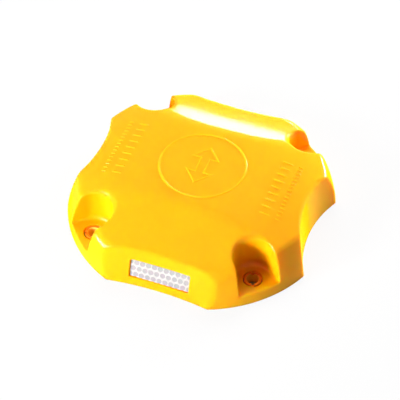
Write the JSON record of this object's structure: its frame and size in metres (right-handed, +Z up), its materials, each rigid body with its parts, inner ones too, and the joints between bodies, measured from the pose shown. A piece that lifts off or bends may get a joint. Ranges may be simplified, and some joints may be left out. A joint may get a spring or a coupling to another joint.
{
  "type": "road stud",
  "caption": "Low domed road stud with scalloped walls, a honeycomb reflector in its front and rear walls and a screw-in fixing bush in each corner pocket.",
  "frame": {"origin": "middle of the underside, on the road surface", "axes": "+Z up out of the road, front reflector faces -Y, +X to the right when seen from the front"},
  "size_m": [0.184, 0.1842, 0.0435],
  "materials": {
    "yellow_plastic": "smooth moulded, soft gloss",
    "adhesive": "acrylic film",
    "reflective_sheet": "pearly retroreflective",
    "white_grid": "smooth sealed cell walls",
    "bush_coat": "yellow-orange coat, satin",
    "seal_rubber": "matt, red-brown"
  },
  "bodies": {
    "stud": {"body_shell": "yellow_plastic", "front_adhesive_film": "adhesive", "front_reflector_sheet": "reflective_sheet", "front_cell_grid": "white_grid", "rear_adhesive_film": "adhesive", "rear_reflector_sheet": "reflective_sheet", "rear_cell_grid": "white_grid"},
    "rear_right_seal_ring": {"rear_right_seal": "seal_rubber"},
    "rear_right_screw_bush": {"rear_right_bush": "bush_coat"},
    "rear_left_seal_ring": {"rear_left_seal": "seal_rubber"},
    "rear_left_screw_bush": {"rear_left_bush": "bush_coat"},
    "front_left_seal_ring": {"front_left_seal": "seal_rubber"},
    "front_left_screw_bush": {"front_left_bush": "bush_coat"},
    "front_right_seal_ring": {"front_right_seal": "seal_rubber"},
    "front_right_screw_bush": {"front_right_bush": "bush_coat"}
  },
  "joints": [
    {"name": "rear_right_rise", "type": "slide", "parent": "stud", "child": "rear_right_seal_ring", "axis": [0, 0, 1], "range_m": [0, 0.00613]},
    {"name": "rear_right_turn", "type": "hinge", "parent": "rear_right_seal_ring", "child": "rear_right_screw_bush", "pos_m": [0.06116, 0.06116, 0], "axis": [0, 0, 1], "range_deg": [0, 1260]},
    {"name": "rear_left_rise", "type": "slide", "parent": "stud", "child": "rear_left_seal_ring", "axis": [0, 0, 1], "range_m": [0, 0.00613]},
    {"name": "rear_left_turn", "type": "hinge", "parent": "rear_left_seal_ring", "child": "rear_left_screw_bush", "pos_m": [-0.06116, 0.06116, 0], "axis": [0, 0, 1], "range_deg": [0, 1260]},
    {"name": "front_left_rise", "type": "slide", "parent": "stud", "child": "front_left_seal_ring", "axis": [0, 0, 1], "range_m": [0, 0.00613]},
    {"name": "front_left_turn", "type": "hinge", "parent": "front_left_seal_ring", "child": "front_left_screw_bush", "pos_m": [-0.06116, -0.06116, 0], "axis": [0, 0, 1], "range_deg": [0, 1260]},
    {"name": "front_right_rise", "type": "slide", "parent": "stud", "child": "front_right_seal_ring", "axis": [0, 0, 1], "range_m": [0, 0.00613]},
    {"name": "front_right_turn", "type": "hinge", "parent": "front_right_seal_ring", "child": "front_right_screw_bush", "pos_m": [0.06116, -0.06116, 0], "axis": [0, 0, 1], "range_deg": [0, 1260]}
  ],
  "couplings": [
    {"joint": "rear_right_rise", "follows": "rear_right_turn", "m_per_rad": 0.00027852},
    {"joint": "rear_left_rise", "follows": "rear_left_turn", "m_per_rad": 0.00027852},
    {"joint": "front_left_rise", "follows": "front_left_turn", "m_per_rad": 0.00027852},
    {"joint": "front_right_rise", "follows": "front_right_turn", "m_per_rad": 0.00027852}
  ]
}
